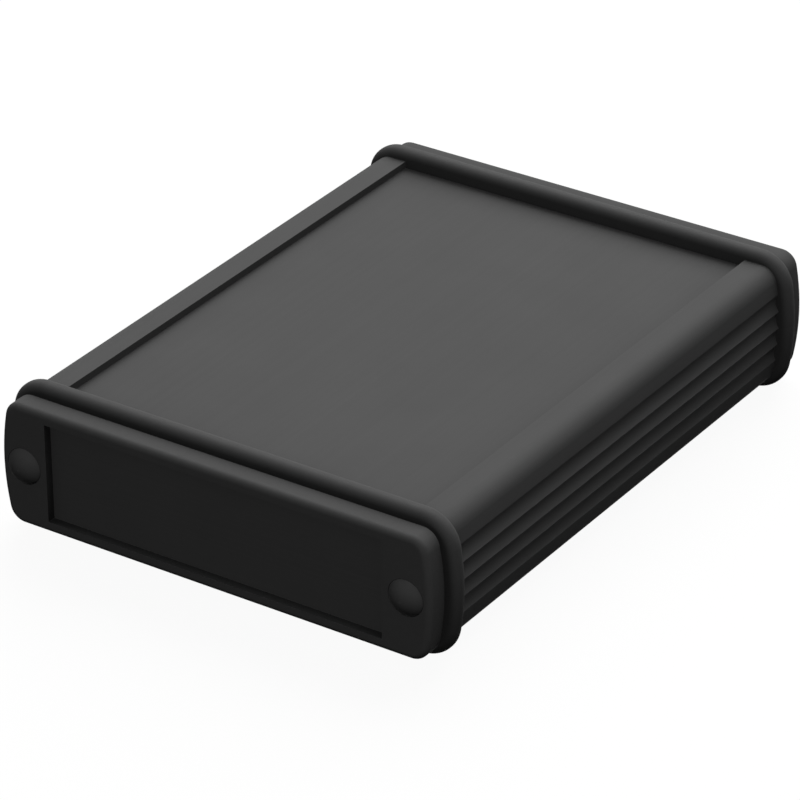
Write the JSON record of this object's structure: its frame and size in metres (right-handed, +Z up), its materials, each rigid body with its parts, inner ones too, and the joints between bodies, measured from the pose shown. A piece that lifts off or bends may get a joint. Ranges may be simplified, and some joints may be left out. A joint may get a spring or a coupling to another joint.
{
  "type": "extruded aluminium enclosure",
  "caption": "Flat black enclosure for a circuit board: a fluted aluminium extrusion with a recessed sliding cover, round bumper rings and framed end panels.",
  "frame": {"origin": "on the surface that the enclosure stands on, under the middle of its box", "axes": "+Y along the extrusion, with the front end at -Y; +X to the right seen from the front; +Z up"},
  "size_m": [0.108, 0.1474, 0.0322],
  "materials": {
    "anodised_aluminium": "matt black anodised extrusion",
    "panel_aluminium": "matt black anodised sheet",
    "bezel_plastic": "soft matt black moulding",
    "cap_plastic": "fine textured black moulding",
    "screw_steel": "plated steel"
  },
  "bodies": {
    "root": {"extruded_body": "anodised_aluminium", "sliding_cover": "anodised_aluminium", "end_screws": "screw_steel", "front_bezel": "bezel_plastic", "front_end_cap": "cap_plastic", "front_end_plate": "panel_aluminium", "front_left_screw_cover": "cap_plastic", "front_right_screw_cover": "cap_plastic", "rear_bezel": "bezel_plastic", "rear_end_cap": "cap_plastic", "rear_end_plate": "panel_aluminium", "rear_left_screw_cover": "cap_plastic", "rear_right_screw_cover": "cap_plastic"}
  },
  "joints": []
}
